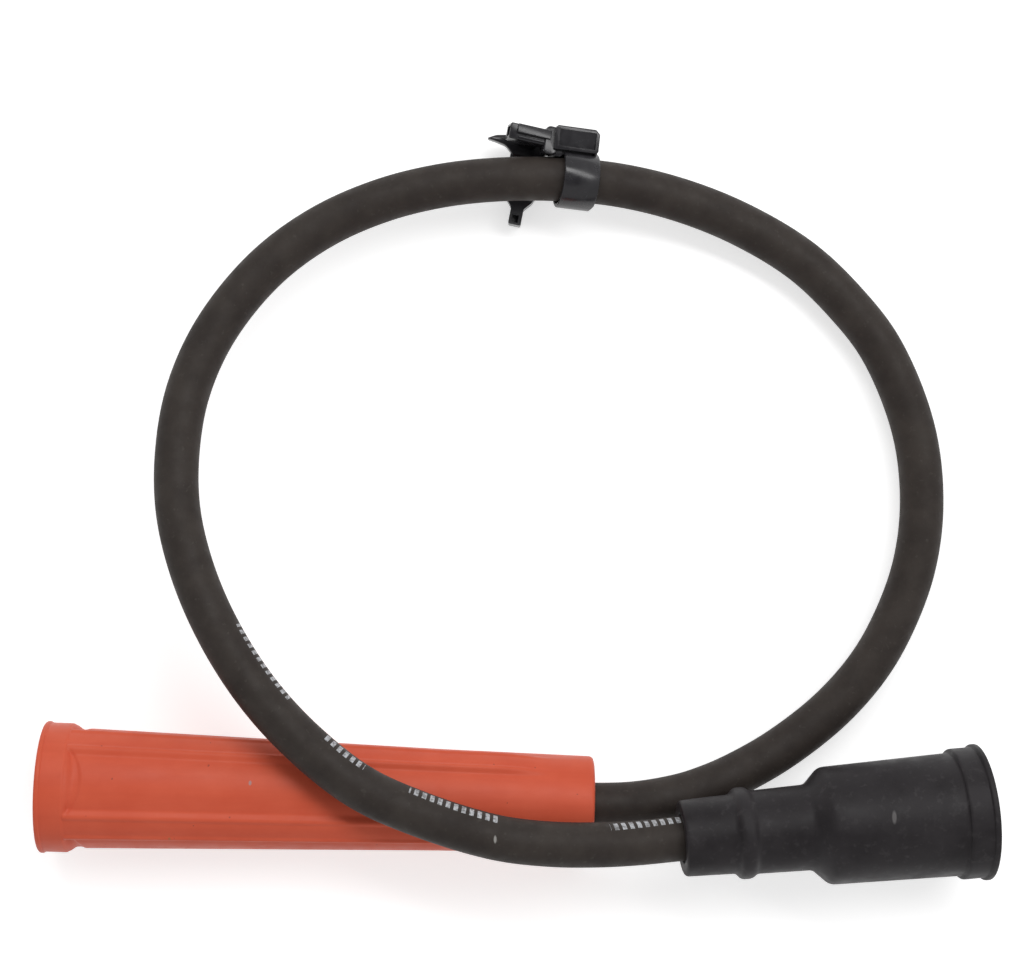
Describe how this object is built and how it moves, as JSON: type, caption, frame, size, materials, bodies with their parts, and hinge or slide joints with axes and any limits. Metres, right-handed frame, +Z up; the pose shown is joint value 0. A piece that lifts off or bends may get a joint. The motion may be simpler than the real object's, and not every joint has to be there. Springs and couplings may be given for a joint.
{
  "type": "spark plug wire",
  "caption": "Spark plug wire: silicone ignition cable in a loop, long fluted plug boot, short cap boot, crimped terminals inside, and a moulded clip on the cable.",
  "frame": {"origin": "middle of the underside of the boots and the clip, where they lie on the bench", "axes": "+X from the plug boot's mouth towards the cap boot's mouth, +Y across the loop towards the clip, +Z up from the bench"},
  "size_m": [0.1724, 0.138, 0.0284],
  "materials": {
    "cable_jacket": "matte grey-black silicone jacket",
    "plug_boot_silicone": "satin orange silicone rubber",
    "cap_boot_rubber": "satin black rubber",
    "plated_steel": "plated sheet steel",
    "spring_steel": "bare spring wire",
    "conductor_core": "carbon-filled fibre core",
    "clip_nylon": "glossy black moulded nylon"
  },
  "bodies": {
    "root": {"ignition_cable": "cable_jacket", "plug_boot": "plug_boot_silicone", "plug_terminal": "plated_steel", "plug_terminal_spring": "spring_steel", "plug_core": "conductor_core", "cap_boot": "cap_boot_rubber", "cap_terminal": "plated_steel", "cap_terminal_spring": "spring_steel", "cap_core": "conductor_core", "wire_clip": "clip_nylon"}
  },
  "joints": []
}
